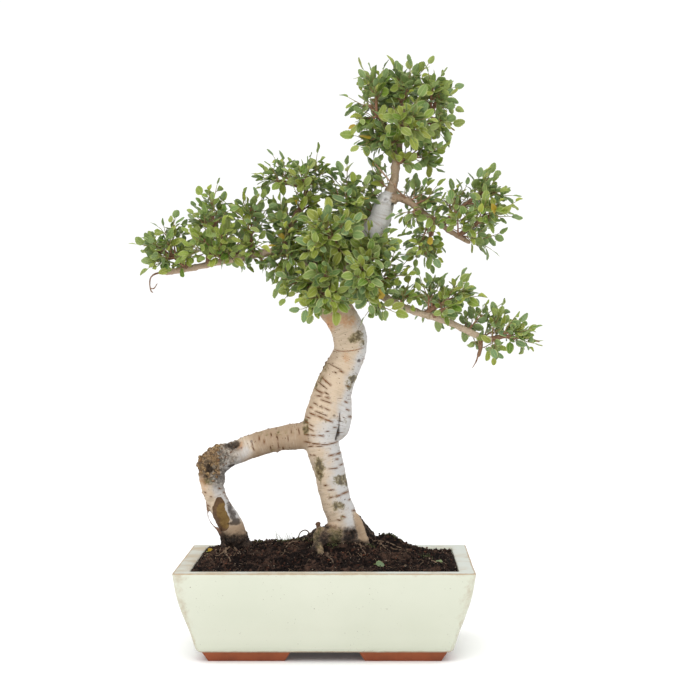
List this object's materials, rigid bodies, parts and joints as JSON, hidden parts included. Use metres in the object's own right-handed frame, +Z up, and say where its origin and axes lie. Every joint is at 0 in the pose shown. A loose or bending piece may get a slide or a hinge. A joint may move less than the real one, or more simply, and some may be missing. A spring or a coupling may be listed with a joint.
{
  "type": "chinese elm bonsai in a rectangular pot",
  "caption": "Small-leaved elm trained as a bonsai, with a curved trunk, a propped side stem and leafy pads, in a rectangular glazed pot on low corner feet.",
  "frame": {"origin": "on the ground under the middle of the whole outline; the pot's centre is 11.3 mm towards -X", "axes": "+Z up, -Y towards the front of the tree, +X to the right seen from the front"},
  "size_m": [0.3706, 0.1898, 0.5371],
  "materials": {
    "glazed_pot": "pale celadon glaze, bare terracotta feet",
    "net": "matte moulded net",
    "soil": "damp fibrous potting soil",
    "bark": "pale smooth bark with brown lenticels",
    "leaf": "satin green leaf",
    "fallen_leaf": "wilted leaf"
  },
  "bodies": {
    "root": {"drain_screen_left": "net", "drain_screen_right": "net", "fallen_leaf_1": "fallen_leaf", "fallen_leaf_2": "fallen_leaf", "pot": "glazed_pot", "soil": "soil", "spray_apex_01": "leaf", "spray_apex_02": "leaf", "spray_apex_03": "leaf", "spray_apex_04": "leaf", "spray_apex_05": "leaf", "spray_apex_06": "leaf", "spray_apex_07": "leaf", "spray_apex_08": "leaf", "spray_apex_09": "leaf", "spray_apex_10": "leaf", "spray_apex_11": "leaf", "spray_apex_12": "leaf", "spray_apex_13": "leaf", "spray_apex_14": "leaf", "spray_high_left_01": "leaf", "spray_high_left_02": "leaf", "spray_high_left_03": "leaf", "spray_high_left_04": "leaf", "spray_high_right_01": "leaf", "spray_high_right_02": "leaf", "spray_high_right_03": "leaf", "spray_high_right_04": "leaf", "spray_high_right_05": "leaf", "spray_high_right_06": "leaf", "spray_high_right_07": "leaf", "spray_left_01": "leaf", "spray_left_02": "leaf", "spray_left_03": "leaf", "spray_left_04": "leaf", "spray_left_05": "leaf", "spray_left_06": "leaf", "spray_left_07": "leaf", "spray_left_08": "leaf", "spray_low_right_01": "leaf", "spray_low_right_02": "leaf", "spray_low_right_03": "leaf", "spray_low_right_04": "leaf", "spray_low_right_05": "leaf", "spray_low_right_06": "leaf", "spray_low_right_07": "leaf", "spray_low_right_08": "leaf", "spray_middle_01": "leaf", "spray_middle_02": "leaf", "spray_middle_03": "leaf", "spray_middle_04": "leaf", "spray_middle_05": "leaf", "spray_middle_06": "leaf", "spray_middle_07": "leaf", "spray_middle_08": "leaf", "spray_middle_09": "leaf", "spray_middle_10": "leaf", "spray_middle_11": "leaf", "tree": "bark"}
  },
  "joints": []
}
